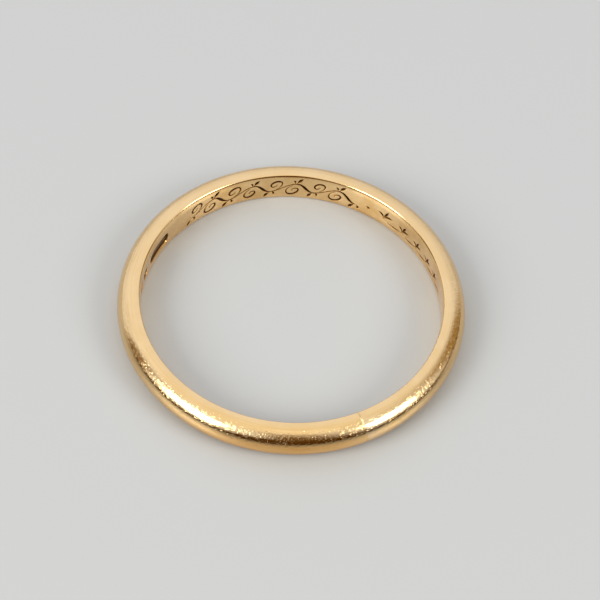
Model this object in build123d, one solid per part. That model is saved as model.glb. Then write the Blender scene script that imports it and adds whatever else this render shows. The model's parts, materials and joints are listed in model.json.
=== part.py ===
from build123d import *
import os

# A plain half-round (D-section) gold wedding band, in millimetres.
# The band lies flat: +Z is the axis of the finger hole and z = 0 is the plane it rests on.
# The origin is on the axis, in that plane, and -Y is the front. Angles run from +X towards +Y.

# Driving dimensions of the wire and the size of the ring
finger_diameter = 17.2
band_width = 2.0
band_thickness = 1.35
inner_edge_depth = 0.14
inner_edge_height = 0.4

# The soldered joint: where it is, how thick the film of solder is, and how far it slants
seam_angle = 299.0
seam_gap = 0.06
seam_slant = 4.0

# The marks punched into the finger wall: one long, then two short ones beside it
punch_depth = 0.1
long_punch_angle = 157.2
long_punch_length = 2.25
long_punch_height = 0.78
short_punch_angles = [170.6, 177.4]
short_punch_length = 0.82
short_punch_height = 0.66

# Worked out from those
finger_radius = finger_diameter / 2
outer_radius = finger_radius + band_thickness
mid_height = band_width / 2
crown_radius = band_width / 2
crown_centre = outer_radius - crown_radius
flat_start = finger_radius + inner_edge_depth


def inner_edge(height, start_angle):
    """The soft oval round, a quarter turn, between the finger wall and a side of the band."""
    centre = (flat_start, height)
    return EllipticalCenterArc(centre, inner_edge_depth, inner_edge_height, start_angle, arc_size=90)


def wire_section():
    """The D section: a straight finger wall, soft inner edges, short flats and a half-round crown."""
    wall_bottom = (finger_radius, inner_edge_height)
    wall_top = (finger_radius, band_width - inner_edge_height)
    with BuildSketch(Plane.XZ) as section:
        with BuildLine():
            Line(wall_bottom, wall_top)
            inner_edge(wall_top[1], 90)
            Line((flat_start, band_width), (crown_centre, band_width))
            ThreePointArc((crown_centre, band_width), (outer_radius, mid_height), (crown_centre, 0))
            Line((crown_centre, 0), (flat_start, 0))
            inner_edge(wall_bottom[1], 180)
        make_face()
    return section.sketch


def bent_wire():
    """The wire bent into a full ring, before the joint is sawn and the marks are punched."""
    return revolve(wire_section(), Axis.Z, 360)


def joint_gap():
    """The narrow space between the butted ends, slanting a little from the true axis."""
    slab = Box(2 * band_thickness, seam_gap, 2 * band_width)
    wire_centre = finger_radius + band_thickness / 2
    return Rot(0, 0, seam_angle) * Pos(wire_centre, 0, mid_height) * Rot(seam_slant, 0, 0) * slab


def punched_mark(angle, length, height):
    """A round-ended recess of even depth, halfway up the finger wall."""
    wall_face = Plane(origin=(0, 0, mid_height), x_dir=(0, 1, 0), z_dir=(1, 0, 0))
    punch = extrude(wall_face * SlotOverall(length, height), amount=outer_radius)
    deepest = Pos(0, 0, mid_height) * Cylinder(finger_radius + punch_depth, band_width)
    return Rot(0, 0, angle) * (punch & deepest)


def band_hoop():
    """The hoop of drawn wire, open by the width of the joint and marked on the inside."""
    hoop = bent_wire() - joint_gap()
    hoop -= punched_mark(long_punch_angle, long_punch_length, long_punch_height)
    for angle in short_punch_angles:
        hoop -= punched_mark(angle, short_punch_length, short_punch_height)
    return hoop


def solder_seam():
    """The film of solder that fills the joint, with the same section as the wire."""
    return bent_wire() & joint_gap()


os.makedirs("parts", exist_ok=True)
export_step(band_hoop(), "parts/band_hoop.step")
export_step(solder_seam(), "parts/solder_seam.step")
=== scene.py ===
import json
import math

import bpy
import numpy as np
from mathutils import Matrix, Vector


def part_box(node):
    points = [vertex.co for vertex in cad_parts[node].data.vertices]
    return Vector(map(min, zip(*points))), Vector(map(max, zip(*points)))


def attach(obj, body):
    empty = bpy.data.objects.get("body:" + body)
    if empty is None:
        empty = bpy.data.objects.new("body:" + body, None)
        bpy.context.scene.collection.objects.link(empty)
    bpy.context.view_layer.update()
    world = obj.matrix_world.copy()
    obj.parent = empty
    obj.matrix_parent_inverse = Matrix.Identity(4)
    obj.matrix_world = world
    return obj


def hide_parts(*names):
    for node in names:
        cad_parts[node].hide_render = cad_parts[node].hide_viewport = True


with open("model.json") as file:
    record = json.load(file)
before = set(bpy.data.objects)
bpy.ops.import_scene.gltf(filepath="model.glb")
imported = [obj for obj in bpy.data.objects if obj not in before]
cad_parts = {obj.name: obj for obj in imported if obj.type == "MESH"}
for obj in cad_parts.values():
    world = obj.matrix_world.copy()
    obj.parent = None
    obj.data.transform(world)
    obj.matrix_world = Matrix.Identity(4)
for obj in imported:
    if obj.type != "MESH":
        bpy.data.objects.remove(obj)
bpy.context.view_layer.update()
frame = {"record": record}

# A gold wedding band lying flat. The band's own lengths are in millimetres, and are turned into
# metres as its meshes are written. The floor, the lamps and the camera are in metres.
# Angles are in degrees. Round the band they run from +X towards +Y.
MM = 0.001

# ---------------------------------------------------------------- sizes from the frame
hoop_low, hoop_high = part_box("band_hoop")
seam_low, seam_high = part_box("solder_seam")
mounts = {mount["name"]: mount for mount in frame["record"]["mounts"]}
wall_radius = mounts["finger_hole"]["dims"]["r_mm"]
wall_height = mounts["finger_hole"]["dims"]["length_mm"]
band_width = (hoop_high.z - hoop_low.z) / MM
outer_radius = hoop_high.x / MM
edge_tall = (band_width - wall_height) / 2
edge_deep = 0.14
crown_radius = band_width / 2
crown_centre = outer_radius - crown_radius
mid_height = band_width / 2

# The soldered joint, how far round the wire its paler colour spreads, and how far its slant does
seam_centre = (seam_low + seam_high) / 2
seam_angle = math.degrees(math.atan2(seam_centre.y, seam_centre.x))
seam_gap = 0.06
seam_slant = 4.0
solder_spread = 8.0
slant_spread = 12.0

# How far the film of solder lies below the wire, at its two faces and along its middle, and how
# far behind the wall the point is that it sinks towards
seam_sinks = ((-1, 0.0001), (0, 0.00014), (1, 0.0001))
seam_core = 0.6

# How far bending and filing by hand moved the crown, outwards and upwards, at most
hand_outward = 0.008
hand_upward = 0.006

# ---------------------------------------------------------------- engraving and marks
# Places on the unrolled wall are (along, height): along grows from where the engraving starts.
cut_start = 136.0
cut_lean = 0.42

# Half the width of a hairline cut and of a full one
hair = 0.05
swell = 0.104

# The running scroll, then a dot, then a row of small flowers
scroll_start = 0.1
wave_length = 2.56
wave_rise = 0.33
waves = 4
dot_gap = 0.62
dot_length = 0.32
flowers_gap = 0.75
tulip_sizes = (1.4, 1.2, 1.1, 1.02, 0.94)
tulip_gap = 0.14

# The punched marks: the angle, length and height of each, halfway up the wall
mark_plan = [(157.2, 2.25, 0.78), (170.6, 0.82, 0.66), (177.4, 0.82, 0.66)]
mark_depth = 0.1
mark_side = 0.045

# How fine the meshes are: columns are a degree apart, split up where the wall is cut
fine_from = 14.0
fine_to = 184.0
fine_steps = 5
joint_step = 0.1
wall_rows = 60
wall_margin = 0.1
seam_wall_stride = 6
edge_steps = 6
crown_steps = 48

# Scratches: their direction, length and width, and the share of places that have one
scratch_plan = [(12, 0.28, 0.05, 0.3), (58, 0.2, 0.05, 0.3), (101, 0.24, 0.05, 0.3), (150, 0.2, 0.05, 0.3)]
scratch_depth = 0.0032

# Colours of the metal
wire_color = (0.93, 0.64, 0.30)
film_color = (0.93, 0.66, 0.33)
solder_tint = (0.95, 0.74, 0.48, 1)
# The orange-brown of tarnish at the edges of the cuts, which in the punched marks is also a painted glint:
# the orange light that gold throws onto gold
tarnish_and_glint_tint = (0.62, 0.30, 0.07, 1)
# The near black of grime in the cuts and marks, which is also painted shade: the dark that the cuts and
# marks hold
grime_and_shade_tint = (0.05, 0.024, 0.007, 1)


class Groove:
    """One graver cut: points along it on the unrolled wall, and the half width at each."""

    def __init__(self, points, half_widths):
        points = np.array(points, float)
        points[:, 0] += (points[:, 1] - mid_height) * cut_lean
        self.points = points
        self.half_widths = half_widths

    def depth_at(self, along, height):
        """How deep the V cut is at each place: its walls stand at 45 degrees."""
        depth = np.zeros_like(along)
        reach = self.half_widths.max()
        low = self.points.min(0) - reach
        high = self.points.max(0) + reach
        near = (along > low[0]) & (along < high[0]) & (height > low[1]) & (height < high[1])
        if not near.any():
            return depth
        gap_a = along[near][:, None] - self.points[None, :, 0]
        gap_h = height[near][:, None] - self.points[None, :, 1]
        reach_left = self.half_widths[None, :] - np.hypot(gap_a, gap_h)
        depth[near] = np.clip(reach_left.max(1), 0, None)
        return depth


def swelling(count, thin, thick, peak=0.5):
    """Half widths that swell from thin to thick and back, thickest at peak."""
    t = np.linspace(0, 1, count)
    power = math.log(0.5) / math.log(peak)
    return thin + (thick - thin) * np.sin(math.pi * t**power) ** 2


def stem(start):
    """The running wave that carries the scroll: fine as it climbs and full as it falls."""
    t = np.linspace(0, 1, 60 * waves)
    turn = 2 * math.pi * waves * t
    points = np.stack([start + wave_length * waves * t, mid_height - wave_rise * np.cos(turn)], 1)
    falling = np.clip(-np.sin(turn), 0, 1) ** 1.5
    return Groove(points, hair + (swell - hair) * falling)


def leaf(root, length, slant, curve, thick=swell):
    """A leaf cut: starts as a hair at its root, swells and closes to a point."""
    t = np.linspace(0, 1, 40)
    a = math.radians(slant)
    bow = curve * np.sin(math.pi * t)
    points = np.stack([root[0] + length * t * math.cos(a) - bow * math.sin(a),
                       root[1] + length * t * math.sin(a) + bow * math.cos(a)], 1)
    return Groove(points, swelling(len(points), hair * 0.5, thick, 0.6))


def curl(centre, radius, start, turn, thick=swell):
    """A curl cut: a spiral that swells over its back and closes on its own eye."""
    t = np.linspace(0, 1, 90)
    angle = np.radians(start + turn * t)
    size = radius * (1 - 0.8 * t)
    points = np.stack([centre[0] + size * np.cos(angle), centre[1] + size * np.sin(angle)], 1)
    return Groove(points, swelling(len(points), hair * 0.7, thick, 0.4))


def scroll(start, rng):
    """The running scroll: a pair of leaves on each crest and trough, and a curl in each hollow."""
    cuts = [stem(start)]
    for half in range(2 * waves + 1):
        side = 1 if half % 2 else -1
        place = start + half * wave_length / 2
        size = 1 + 0.08 * rng.uniform(-1, 1)
        crest = mid_height + side * wave_rise
        tilt = 90 * side
        cuts.append(leaf((place, crest), 0.5 * size, tilt - 24, 0.05 * side))
        cuts.append(leaf((place - 0.1 * side, crest), 0.34 * size, tilt + 34, -0.05 * side, swell * 0.8))
        if half < 2 * waves:
            eye = (place + 0.06, mid_height - side * 0.24)
            cuts.append(curl(eye, 0.46 * size, -60 if side < 0 else 120, 430, swell * 0.75))
    return cuts


def tulip(start, size, rng):
    """A small flower of three leaves fanned from one root, on a tendril that runs on to the next."""
    turn = 8 * rng.uniform(-1, 1)
    root = (start + 0.4 * size, mid_height - 0.3)
    cuts = [leaf(root, size + tulip_gap, 0, -0.14, hair * 1.2)]
    for slant, length, curve in ((88, 0.6, 0.0), (142, 0.5, -0.1), (36, 0.5, 0.1)):
        cuts.append(leaf(root, length * size, slant + turn, curve * size, swell * 0.85))
    return cuts


def engraving():
    """All the cuts, placed by their distance along the wall from where the engraving starts."""
    rng = np.random.default_rng(7)
    cuts = scroll(scroll_start, rng)
    dot = scroll_start + wave_length * waves + dot_gap
    cuts.append(leaf((dot, mid_height - 0.02), dot_length, -28, 0.02, swell * 0.9))
    place = dot + flowers_gap
    for size in tulip_sizes:
        cuts += tulip(place, size, rng)
        place += size + tulip_gap
    return cuts


def marks(along, height):
    """The punched marks: how deep, with steep sides and a pebbled floor, and how dark: grime and painted
    shade, darkest at their sides, lighter on the pebbles in their middle, where the orange is a painted
    glint.
    """
    depth = np.zeros_like(along)
    grime = np.zeros_like(along)
    for angle, length, tall in mark_plan:
        centre = math.radians(cut_start - angle) * wall_radius
        radius = tall / 2
        straight = length / 2 - radius
        outside = np.hypot(np.clip(np.abs(along - centre) - straight, 0, None), height - mid_height)
        inside = np.clip((radius - outside) / mark_side, 0, 1)
        pebbles = (np.sin(along * 23.0) * np.sin(height * 19.0 + along * 3.0)) ** 2
        middle = np.clip((radius - outside) / radius - 0.2, 0, 1)
        depth = np.maximum(depth, mark_depth * inside * (1 - 0.3 * pebbles))
        # Grime and painted shade: darkest at the mark's sides, lighter in its middle on the pebbles, where
        # the orange tint is a painted glint
        grime = np.maximum(grime, inside * (1 - middle * (0.2 + 0.6 * pebbles)))
    return depth, grime


def carve(cuts, along, height):
    """How deep the wall is engraved or punched at each place, and how dark it is there."""
    depth = np.zeros_like(along)
    for groove in cuts:
        depth = np.maximum(depth, groove.depth_at(along, height))
    # Grime in the cuts, and painted shade: the deeper a cut, the darker
    grime = np.clip((depth - 0.003) / 0.026, 0, 1)
    punched, mark_grime_and_shade = marks(along, height)
    return np.maximum(depth, punched), np.maximum(grime, mark_grime_and_shade)


# ---------------------------------------------------------------- the meshes
def arc(centre, deep, tall, start, end, steps):
    """Points on an oval arc of the section, without its first one."""
    angles = np.radians(np.linspace(start, end, steps + 1)[1:])
    return [(centre[0] + deep * math.cos(a), centre[1] + tall * math.sin(a)) for a in angles]


def wall_recess(height):
    """How far the finger wall leans back from the finger at a height: only near its edges."""
    to_edge = min(height, band_width - height)
    lean = max(0.0, 1 - to_edge / edge_tall)
    return edge_deep * (1 - math.sqrt(1 - lean**2))


def section():
    """The D section as three runs of points: below the wall, the wall, and the rest."""
    flat_start = wall_radius + edge_deep
    lean = math.degrees(math.asin(1 - wall_margin / edge_tall))
    low_corner = arc((flat_start, edge_tall), edge_deep, edge_tall, 270, 180 + lean, edge_steps)
    high_centre = (flat_start, band_width - edge_tall)
    high_corner = arc(high_centre, edge_deep, edge_tall, 180 - lean, 90, edge_steps)
    heights = np.linspace(wall_margin, band_width - wall_margin, wall_rows + 1)
    below = [(flat_start, 0.0)] + low_corner[:-1]
    wall = [(wall_radius + wall_recess(z), z) for z in heights]
    flat_middle = (flat_start + crown_centre) / 2
    rest = high_corner + [(flat_middle, band_width), (crown_centre, band_width)]
    rest += arc((crown_centre, mid_height), crown_radius, crown_radius, 90, -90, crown_steps)
    rest += [(flat_middle, 0.0)]
    return below, wall, rest


def loop_lengths(points):
    """Distance along the section to each point, and its whole length."""
    steps = [math.dist(a, b) for a, b in zip(points, points[1:] + points[:1])]
    return np.concatenate([[0], np.cumsum(steps)])


def seam_offset(radius, height, side):
    """Angle from the seam's middle to its face at this point of the section, in degrees."""
    slant = math.radians(seam_slant)
    sideways = -(height - mid_height) * math.tan(slant) + side * seam_gap / 2 / math.cos(slant)
    return math.degrees(math.asin(sideways / radius))


def columns():
    """Turn angles from the seam all the way round, close together at the joint and where the wall
    is cut, and the places in that list of the ones that every row has."""
    edges = [0.0, joint_step] + [float(degree) for degree in range(1, 360)] + [360 - joint_step, 360.0]
    angles = []
    shared = []
    for start, end in zip(edges, edges[1:]):
        shared.append(len(angles))
        here = (seam_angle + start) % 360
        steps = fine_steps if fine_from <= here < fine_to else 1
        angles += list(np.linspace(start, end, steps, endpoint=False))
    shared.append(len(angles))
    angles.append(360.0)
    return np.array(angles), np.array(shared)


def hoop_angle(turn, radius, height):
    """The angle at a turn round the hoop, sheared near the joint so that its ends meet the seam."""
    start = seam_offset(radius, height, 1)
    end = seam_offset(radius, height, -1)
    near_start = max(0.0, 1 - turn / slant_spread)
    near_end = max(0.0, 1 - (360 - turn) / slant_spread)
    shear = start * near_start + end * near_end
    return seam_angle + turn + shear


def wander(angle, phase):
    """The slow unevenness of hand-bent and hand-filed wire, from -1 to 1."""
    a = math.radians(angle)
    return (math.sin(3 * a + phase) + 0.6 * math.sin(7 * a + 2.1 * phase)
            + 0.4 * math.sin(13 * a + 1.3 * phase) + 0.3 * math.sin(29 * a + 0.7 * phase)) / 2.3


def handwork(angle, radius):
    """How far handwork moved the wire here, outwards and upwards: most at the crown."""
    share = max(0.0, radius - crown_centre) / crown_radius
    return wander(angle, 1.0) * hand_outward * share, wander(angle, 4.0) * hand_upward * share


def surface_at(radius):
    """How worn by use a place is, and how much of it faces the finger hole, from 0 to 1."""
    outward = (radius - crown_centre) / crown_radius
    inward = (wall_radius + edge_deep - radius) / edge_deep
    return {"wear": min(1.0, max(0.0, (outward - 0.05) / 0.35)), "inside": min(1.0, max(0.0, inward))}


def faces_between(rows, shared=()):
    """The faces between the rows of a piece, each as its corners and those of them that close the
    section's loop. A row with more columns than the next meets it at the shared ones. Ends come last."""
    faces = []
    for row, lower in enumerate(rows):
        upper = rows[(row + 1) % len(rows)]
        closing = set(upper.tolist()) if row + 1 == len(rows) else set()
        if len(lower) == len(upper):
            for i in range(len(lower) - 1):
                faces.append(([lower[i], upper[i], upper[i + 1], lower[i + 1]], closing))
            continue
        for i, (first, last) in enumerate(zip(shared, shared[1:])):
            if len(lower) < len(upper):
                faces.append(([lower[i], *upper[first:last + 1], lower[i + 1]], closing))
            else:
                faces.append(([upper[i], upper[i + 1], *lower[first:last + 1][::-1]], closing))
    faces.append(([row[0] for row in rows][::-1], set()))
    faces.append(([row[-1] for row in rows], set()))
    return faces


def make_piece(name, coords, uvs, loop_length, faces, surface):
    """A mesh object in metres, its surface in mm as UVs: smooth but for its last two faces, the ends."""
    mesh = bpy.data.meshes.new(name)
    points = [tuple(float(x) * MM for x in place) for place in coords]
    mesh.from_pydata(points, [], [[int(c) for c in corners] for corners, closing in faces])
    spread = []
    for corners, closing in faces:
        for c in corners:
            spread += [uvs[c][0], loop_length if c in closing else uvs[c][1]]
    layer = mesh.uv_layers.new(name="surface_mm")
    layer.data.foreach_set("uv", spread)
    for key, values in surface.items():
        attribute = mesh.attributes.new(key, "FLOAT", "POINT")
        attribute.data.foreach_set("value", [float(v) for v in values])
    smooth = [True] * (len(mesh.polygons) - 2) + [False] * 2
    mesh.polygons.foreach_set("use_smooth", smooth)
    mesh.validate()
    mesh.update()
    piece = bpy.data.objects.new(name, mesh)
    bpy.context.scene.collection.objects.link(piece)
    return piece


def build_hoop():
    """The hoop: the D section carried round from one face of the joint to the other."""
    below, wall, rest = section()
    loop = below + wall + rest
    lengths = loop_lengths(loop)
    turns_on_wall, shared = columns()
    cuts = engraving()
    coords = []
    uvs = []
    surface = {"grime": [], "solder": [], "wear": [], "inside": []}
    rows = []
    for row, (radius, height) in enumerate(loop):
        on_wall = len(below) <= row < len(below) + len(wall)
        turns = turns_on_wall if on_wall else turns_on_wall[shared]
        angles = np.array([hoop_angle(t, radius, height) for t in turns])
        depth = np.zeros(len(turns))
        grime = np.zeros(len(turns))
        if on_wall:
            along = np.radians(cut_start - (angles % 360)) * wall_radius
            depth, grime = carve(cuts, along, np.full(len(turns), height))
        moved = np.array([handwork(a, radius) for a in angles])
        reach = radius + depth + moved[:, 0]
        z = np.clip(height + moved[:, 1], 0, band_width)
        a = np.radians(angles)
        rows.append(np.arange(len(turns)) + len(coords))
        coords += list(np.stack([reach * np.cos(a), reach * np.sin(a), z], 1))
        uvs += [(math.radians(t) * wall_radius, lengths[row]) for t in turns]
        surface["grime"] += list(grime)
        surface["solder"] += list(np.clip(1 - turns / solder_spread, 0, 1))
        for key, value in surface_at(radius).items():
            surface[key] += [value] * len(turns)
    return make_piece("hoop", coords, uvs, lengths[-1], faces_between(rows, shared), surface)


def build_seam():
    """The film of solder: the section again, a hair below the wire's surface, lowest along its middle."""
    below, wall, rest = section()
    loop = below + wall[::seam_wall_stride] + rest
    lengths = loop_lengths(loop)
    wire_middle = np.array([wall_radius + seam_core, mid_height])
    coords = []
    uvs = []
    surface = {"wear": [], "inside": []}
    rows = []
    for row, point in enumerate(loop):
        inward = wire_middle - np.array(point)
        inward /= np.linalg.norm(inward)
        rows.append(np.arange(len(seam_sinks)) + len(coords))
        for side, sink in seam_sinks:
            radius, height = np.array(point) + inward * sink
            angle = seam_angle + seam_offset(radius, height, side)
            outwards, upwards = handwork(angle, radius)
            reach = radius + outwards
            z = min(band_width, max(0.0, height + upwards))
            a = math.radians(angle)
            coords.append((reach * math.cos(a), reach * math.sin(a), z))
            uvs.append((side * seam_gap / 2, lengths[row]))
            for key, value in surface_at(radius).items():
                surface[key].append(value)
    return make_piece("seam", coords, uvs, lengths[-1], faces_between(rows), surface)


# ---------------------------------------------------------------- materials
class Nodes:
    """Short calls for building a node tree."""

    def __init__(self, tree):
        self.tree = tree
        tree.nodes.clear()

    def add(self, kind, inputs=None, **settings):
        node = self.tree.nodes.new(kind)
        for key, value in settings.items():
            setattr(node, key, value)
        for key, value in (inputs or {}).items():
            self.feed(node.inputs[key], value)
        return node

    def feed(self, socket, value):
        if isinstance(value, bpy.types.NodeSocket):
            self.tree.links.new(value, socket)
        else:
            socket.default_value = value

    def math(self, operation, a, b=0.0):
        return self.add("ShaderNodeMath", {0: a, 1: b}, operation=operation).outputs[0]

    def remap(self, value, low, high, to_low=0.0, to_high=1.0, smooth=True):
        ends = {"Value": value, "From Min": low, "From Max": high, "To Min": to_low, "To Max": to_high}
        kind = "SMOOTHSTEP" if smooth else "LINEAR"
        return self.add("ShaderNodeMapRange", ends, interpolation_type=kind).outputs["Result"]

    def mix(self, factor, a, b):
        node = self.add("ShaderNodeMix", data_type="RGBA")
        self.feed(node.inputs["Factor"], factor)
        self.feed(node.inputs["A"], a)
        self.feed(node.inputs["B"], b)
        return node.outputs["Result"]


def scratches(n, surface, angle, length, width, share):
    """A layer of short fine scratches, all near one direction: how deep each is, from 0 to 1."""
    turned = n.add("ShaderNodeMapping", {"Vector": surface, "Rotation": (0, 0, math.radians(angle))})
    bend = n.add("ShaderNodeTexNoise", {"Vector": turned.outputs[0], "Scale": 1.1, "Detail": 1.0})
    swerve = n.add("ShaderNodeVectorMath", {0: bend.outputs["Color"], 1: (0.5, 0.5, 0.0)},
                   operation="MULTIPLY")
    bent = n.add("ShaderNodeVectorMath", {0: turned.outputs[0], 1: swerve.outputs[0]}, operation="ADD")
    squeezed = n.add("ShaderNodeMapping", {"Vector": bent.outputs[0], "Scale": (1 / length, 1 / width, 1)})
    cells = n.add("ShaderNodeTexVoronoi", {"Vector": squeezed.outputs[0], "Scale": 1.0},
                  voronoi_dimensions="2D")
    groove = n.remap(cells.outputs["Distance"], 0.42, 0.05)
    chance = n.add("ShaderNodeSeparateColor", {"Color": cells.outputs["Color"]}).outputs[0]
    return n.math("MULTIPLY", groove, n.remap(chance, 1 - share, 1.1 - share, smooth=False))


def streaks(n, surface, angle, along, across):
    """Fine noise drawn out one way: how high it is, from 0 to 1."""
    turned = n.add("ShaderNodeMapping", {"Vector": surface, "Rotation": (0, 0, math.radians(angle))})
    drawn = n.add("ShaderNodeMapping", {"Vector": turned.outputs[0], "Scale": (along, across, 1.0)})
    noise = n.add("ShaderNodeTexNoise", {"Vector": drawn.outputs[0], "Scale": 1.0, "Detail": 1.0})
    return noise.outputs["Fac"]


def clouds(n, surface, scale, detail, roughness):
    """Even noise: how high it is, from 0 to 1."""
    noise = n.add("ShaderNodeTexNoise",
                  {"Vector": surface, "Scale": scale, "Detail": detail, "Roughness": roughness})
    return noise.outputs["Fac"]


def scratched_crown(n, surface, wear):
    """All the scratches, broken up by finer nicks, where the crown is worn."""
    deepest = 0.0
    for angle, length, width, share in scratch_plan:
        deepest = n.math("MAXIMUM", deepest, scratches(n, surface, angle, length, width, share))
    nicks = n.math("ADD", streaks(n, surface, 28, 3.5, 9.0), streaks(n, surface, 112, 3.5, 9.0))
    broken = n.math("SUBTRACT", deepest, n.math("MULTIPLY", nicks, 1.2))
    return n.math("MULTIPLY", broken, wear)


def gold_tint(n, color, surface, drawn, worn, share):
    """The metal's colour: duller where worn, paler by the joint, stained inside, painted paler and brighter
    inside to stand in for light reflected onto it, and dark in the cuts, with grime and painted shade.
    """

    def shade(red, green, blue):
        return (color[0] * red, color[1] * green, color[2] * blue, 1)

    tint = n.mix(worn, shade(1, 1, 1), shade(0.97, 0.95, 0.9))
    line_share = n.remap(share["wear"], 0, 1, 0.08, 0.3, smooth=False)
    tint = n.mix(n.math("MULTIPLY", n.remap(drawn, 0.42, 0.62), line_share), tint, shade(0.82, 0.74, 0.6))
    by_joint = n.math("MULTIPLY", share["solder"], n.math("MULTIPLY", share["wear"], 0.5))
    tint = n.mix(by_joint, tint, solder_tint)
    # Painted light: the inner wall is made paler and brighter, standing in for light reflected onto it
    tint = n.mix(share["inside"], tint, shade(1.06, 1.07, 1.07))
    stain = n.math("MULTIPLY", n.remap(clouds(n, surface, 0.45, 4.0, 0.6), 0.44, 0.66),
                   n.math("MULTIPLY", share["inside"], 0.55))
    tint = n.mix(stain, tint, shade(0.78, 0.64, 0.36))
    # Orange where grime and shade are light: tarnish at the edges of the cuts, and painted glints on the
    # pebbles of the marks
    tint = n.mix(n.remap(share["grime"], 0.0, 0.45), tint, tarnish_and_glint_tint)
    # Near black: grime in the cuts and marks, and painted shade
    return n.mix(n.remap(share["grime"], 0.35, 1.0), tint, grime_and_shade_tint)


def gold(name, color):
    """Worn polished gold: fine scratches on the crown, burnished lines inside, painted light on the inner
    wall, and dark metal in the cuts: grime and painted shade, with painted orange glints.
    """
    material = bpy.data.materials.new(name)
    material.use_nodes = True
    n = Nodes(material.node_tree)
    surface = n.add("ShaderNodeUVMap", uv_map="surface_mm").outputs[0]
    share = {}
    for key in ("grime", "solder", "wear", "inside"):
        share[key] = n.add("ShaderNodeAttribute", attribute_name=key).outputs["Fac"]

    grain = clouds(n, surface, 7.0, 3.0, 0.6)
    drawn = streaks(n, surface, 0, 0.4, 9.0)
    lines = n.math("MULTIPLY", drawn, n.remap(share["inside"], 0, 1, 0.5, 1.0, smooth=False))
    relief = n.math("MULTIPLY", scratched_crown(n, surface, share["wear"]), -1.0)
    relief = n.math("ADD", relief, n.math("MULTIPLY", grain, 0.35))
    relief = n.math("ADD", relief, n.math("MULTIPLY", lines, 0.6))
    bump = n.add("ShaderNodeBump", {"Height": relief, "Strength": 1.0, "Distance": scratch_depth * MM})

    worn = n.remap(clouds(n, surface, 0.7, 3.0, 0.55), 0.35, 0.65)
    rough = n.remap(worn, 0, 1, 0.08, 0.12, smooth=False)
    rough = n.math("ADD", rough, n.math("MULTIPLY", share["inside"], 0.05))
    rough = n.math("ADD", rough, n.math("MULTIPLY", share["grime"], 0.25))

    tint = gold_tint(n, color, surface, drawn, worn, share)
    shader = n.add("ShaderNodeBsdfPrincipled",
                   {"Base Color": tint, "Metallic": 1.0, "Roughness": rough, "Normal": bump.outputs[0]})
    output = n.add("ShaderNodeOutputMaterial")
    n.tree.links.new(shader.outputs[0], output.inputs["Surface"])
    return material


def floor_paper():
    """Plain pale paper. Seen in the band it also has a soft sheen, a painted pool of gold light in front,
    and painted shade in front where it is seen at a grazing angle.
    """
    material = bpy.data.materials.new("floor_paper")
    material.use_nodes = True
    n = Nodes(material.node_tree)
    seen = n.add("ShaderNodeLightPath").outputs["Is Camera Ray"]
    place = n.add("ShaderNodeTexCoord").outputs["Object"]
    # Painted light: a pool of gold light on the floor in front of the band, standing in for the light the
    # band reflects onto it; it shows only in the band's reflections
    from_front = n.add("ShaderNodeVectorMath", {0: place, 1: (0.0, -0.0115, 0.0)}, operation="DISTANCE")
    painted_gold_light = n.remap(from_front.outputs["Value"], 0.009, 0.003)
    shade = n.mix(painted_gold_light, (0.44, 0.435, 0.41, 1), (0.48, 0.405, 0.295, 1))
    # Painted shade: in front of the band, where the floor is seen at a grazing angle, it darkens towards
    # black; this too shows only in the band's reflections
    depth = n.add("ShaderNodeSeparateXYZ", {"Vector": place}).outputs["Y"]
    painted_shade_in_front = n.remap(depth, 0.003, -0.005)
    grazing = n.add("ShaderNodeFresnel", {"IOR": 1.5}).outputs[0]
    shade = n.mix(n.math("MULTIPLY", grazing, painted_shade_in_front), shade, (0, 0, 0, 1))
    # The camera sees an evenly pale floor, without the painted light and shade
    shade = n.mix(seen, shade, (0.50, 0.497, 0.455, 1))
    matt = n.add("ShaderNodeBsdfDiffuse", {"Color": shade})
    sheen = n.add("ShaderNodeBsdfGlossy", {"Color": (1, 1, 1, 1), "Roughness": 0.34})
    share = n.remap(grazing, 0, 0.75, 0.125, 0.0, smooth=False)
    share = n.math("MULTIPLY", share, n.math("SUBTRACT", 1.0, seen))
    both = n.add("ShaderNodeMixShader", {0: share, 1: matt.outputs[0], 2: sheen.outputs[0]})
    output = n.add("ShaderNodeOutputMaterial")
    n.tree.links.new(both.outputs[0], output.inputs["Surface"])
    return material


def direction(azimuth, elevation):
    """The unit vector towards a place seen from the band: azimuth 0 is the front, 90 the right."""
    a, e = math.radians(azimuth), math.radians(elevation)
    return Vector((math.sin(a) * math.cos(e), -math.cos(a) * math.cos(e), math.sin(e)))


# ---------------------------------------------------------------- pieces
hoop = build_hoop()
hoop.data.materials.append(gold("worn_gold", wire_color))
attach(hoop, "root")
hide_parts("band_hoop")

seam = build_seam()
seam.data.materials.append(gold("solder_gold", film_color))
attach(seam, "root")
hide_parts("solder_seam")

# ---------------------------------------------------------------- floor
# It lies a hair below the plane that the band rests on, so that the two never share a plane.
floor_half = 1.5
floor_drop = 0.000005
floor_mesh = bpy.data.meshes.new("floor")
floor_mesh.from_pydata([(-floor_half, -floor_half, 0), (floor_half, -floor_half, 0),
                        (floor_half, floor_half, 0), (-floor_half, floor_half, 0)], [], [(0, 1, 2, 3)])
floor = bpy.data.objects.new("floor", floor_mesh)
floor.location.z = -floor_drop
floor_mesh.materials.append(floor_paper())
bpy.context.scene.collection.objects.link(floor)


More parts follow.
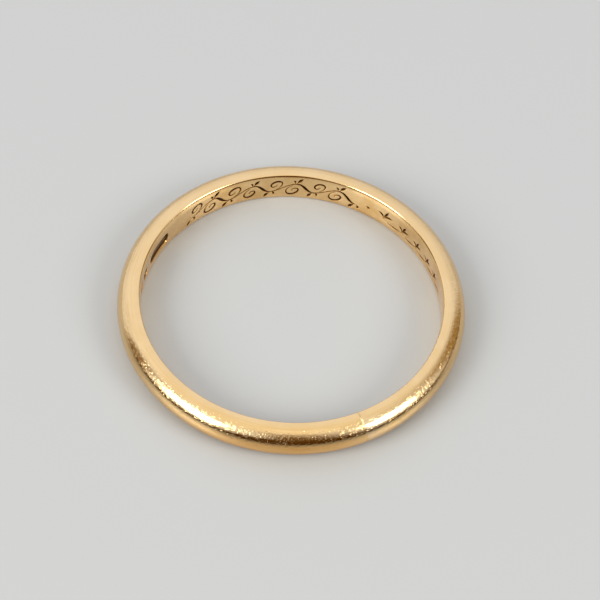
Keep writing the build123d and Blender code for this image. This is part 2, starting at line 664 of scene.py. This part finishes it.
# ---------------------------------------------------------------- light
class Sky:
    """The world's nodes, and the calls that shape its light by the direction looked in."""

    def __init__(self, tree):
        self.n = Nodes(tree)
        self.look = self.n.add("ShaderNodeTexCoord").outputs["Generated"]
        self.upward = self.along((0, 0, 1))

    def along(self, axis):
        """How far a direction points along an axis, from -1 to 1."""
        dot = self.n.add("ShaderNodeVectorMath", {0: self.look, 1: tuple(axis)}, operation="DOT_PRODUCT")
        return dot.outputs["Value"]

    def ahead(self, azimuth):
        """1 in the half of the room around an azimuth, 0 in the other half."""
        return self.n.math("GREATER_THAN", self.along(direction(azimuth, 0)), 0.0)

    def right_of(self, low_edge, high_edge, softness):
        """1 to the right of the great circle that climbs from one direction to another, 0 to its left."""
        pole = direction(*high_edge).cross(direction(*low_edge)).normalized()
        return self.n.remap(self.along(pole), -softness, softness)

    def all_of(self, *shares):
        """The product of several shares."""
        product = shares[0]
        for share in shares[1:]:
            product = self.n.math("MULTIPLY", product, share)
        return product

    def upright_strip(self, azimuth, edge, core):
        """An upright strip on one side of the room: full within the core, gone beyond the edge."""
        sideways = self.n.math("ABSOLUTE", self.along(direction(azimuth - 90, 0)))
        return self.all_of(self.n.remap(sideways, edge, core), self.ahead(azimuth))


def pale_room(sky):
    """The light of the room: brighter high up and on the left, and cool but for straight overhead."""
    n = sky.n
    level = n.remap(sky.upward, 0.0, 0.85, 0.76, 0.98, smooth=False)
    leftward = n.remap(sky.along((1, 0, 0)), -0.9, 0.9, 1.08, 0.86, smooth=False)
    overhead = n.remap(sky.along(direction(30, 75)), 0.93, 0.985)
    level = sky.all_of(level, leftward, n.remap(overhead, 0, 1, 1.0, 1.12, smooth=False))
    cool = n.remap(sky.upward, 0.99, 0.75)
    green = n.math("MULTIPLY", level, n.remap(cool, 0, 1, 1.0, 1.07, smooth=False))
    blue = n.math("MULTIPLY", level, n.remap(cool, 0, 1, 1.0, 1.30, smooth=False))
    return n.add("ShaderNodeCombineColor", {"Red": level, "Green": green, "Blue": blue}).outputs[0]


def camera_side(sky):
    """The dark place round the camera: an oval low down in front, and a column that climbs from it."""
    n = sky.n
    across = n.math("DIVIDE", sky.along(direction(98, 0)), math.sin(math.radians(46)))
    upright = n.math("DIVIDE", sky.upward, math.sin(math.radians(33)))
    squares = n.math("ADD", n.math("MULTIPLY", across, across), n.math("MULTIPLY", upright, upright))
    oval = sky.all_of(n.remap(squares, 1.35, 0.6), sky.ahead(8))
    column = sky.all_of(sky.right_of((-9, 0), (-9, 60), 0.15), sky.right_of((14, 65), (38, 30), 0.28),
                        n.remap(sky.upward, 0.995, 0.88))
    return n.math("MAXIMUM", oval, column)


def studio_world():
    """A pale room that is dark where the camera stands, low down in front, and beside each lamp."""
    world = bpy.data.worlds.new("studio")
    world.use_nodes = True
    sky = Sky(world.node_tree)
    n = sky.n
    room = pale_room(sky)
    beside_left = sky.all_of(sky.upright_strip(-94, 0.22, 0.08), n.remap(sky.upward, 0.93, 0.4))
    room = n.mix(beside_left, room, (0.26, 0.17, 0.085, 1))
    beside_right = sky.all_of(sky.upright_strip(117, 0.38, 0.08), n.remap(sky.upward, 0.98, 0.6))
    room = n.mix(beside_right, room, (0.34, 0.245, 0.11, 1))
    low_front = sky.all_of(n.remap(sky.along(direction(12, 0)), -0.5, -0.2), n.remap(sky.upward, 0.2, 0.09))
    room = n.mix(low_front, room, (0.14, 0.08, 0.025, 1))
    shade = n.mix(n.remap(sky.upward, 0.2, 0.85), (0.08, 0.036, 0.003, 1), (0.20, 0.12, 0.05, 1))
    room = n.mix(camera_side(sky), room, shade)

    seen = n.add("ShaderNodeLightPath").outputs["Is Camera Ray"]
    color = n.mix(seen, room, (0.66, 0.66, 0.65, 1))
    background = n.add("ShaderNodeBackground", {"Color": color, "Strength": 1.0})
    output = n.add("ShaderNodeOutputWorld")
    n.tree.links.new(background.outputs[0], output.inputs["Surface"])
    bpy.context.scene.world = world


def softbox(name, azimuth, elevation, wide, tall, radiance):
    """A soft lamp that faces the band, wide and tall in degrees as the band sees it."""
    distance = 0.6
    lamp = bpy.data.lights.new(name, "AREA")
    lamp.shape = "RECTANGLE"
    lamp.size = 2 * distance * math.tan(math.radians(wide / 2))
    lamp.size_y = 2 * distance * math.tan(math.radians(tall / 2))
    lamp.energy = radiance * math.pi * lamp.size * lamp.size_y
    lamp_object = bpy.data.objects.new(name, lamp)
    towards = direction(azimuth, elevation)
    lamp_object.location = towards * distance
    lamp_object.rotation_mode = "QUATERNION"
    lamp_object.rotation_quaternion = towards.to_track_quat("Z", "Y")
    lamp_object.visible_camera = False
    bpy.context.scene.collection.objects.link(lamp_object)


studio_world()
softbox("left_softbox", azimuth=-54, elevation=33, wide=31, tall=30, radiance=6.5)
softbox("right_softbox", azimuth=66, elevation=34, wide=25, tall=25, radiance=6.5)


# ---------------------------------------------------------------- camera
def make_camera():
    """Looks down at the band from the front, rolled a little, with the band off the centre."""
    elevation = math.radians(53.7)
    roll = math.radians(4.62)
    distance = 155.8 * MM
    band_left = 0.543 * MM
    band_down = 0.896 * MM
    right = Vector((1, 0, 0))
    up = Vector((0, math.sin(elevation), math.cos(elevation)))
    back = Vector((0, -math.cos(elevation), math.sin(elevation)))
    turned_right = right * math.cos(roll) + up * math.sin(roll)
    turned_up = up * math.cos(roll) - right * math.sin(roll)
    camera = bpy.data.cameras.new("camera")
    camera.lens = 162.75
    camera.sensor_width = 36
    camera.clip_start = 0.001
    camera.clip_end = 10
    camera_object = bpy.data.objects.new("camera", camera)
    place = back * distance + turned_right * band_left + turned_up * band_down
    axes = Matrix((turned_right, turned_up, back)).transposed().to_4x4()
    camera_object.matrix_world = Matrix.Translation(place) @ axes
    bpy.context.scene.collection.objects.link(camera_object)
    bpy.context.scene.camera = camera_object


make_camera()
bpy.context.scene.view_settings.view_transform = "Standard"
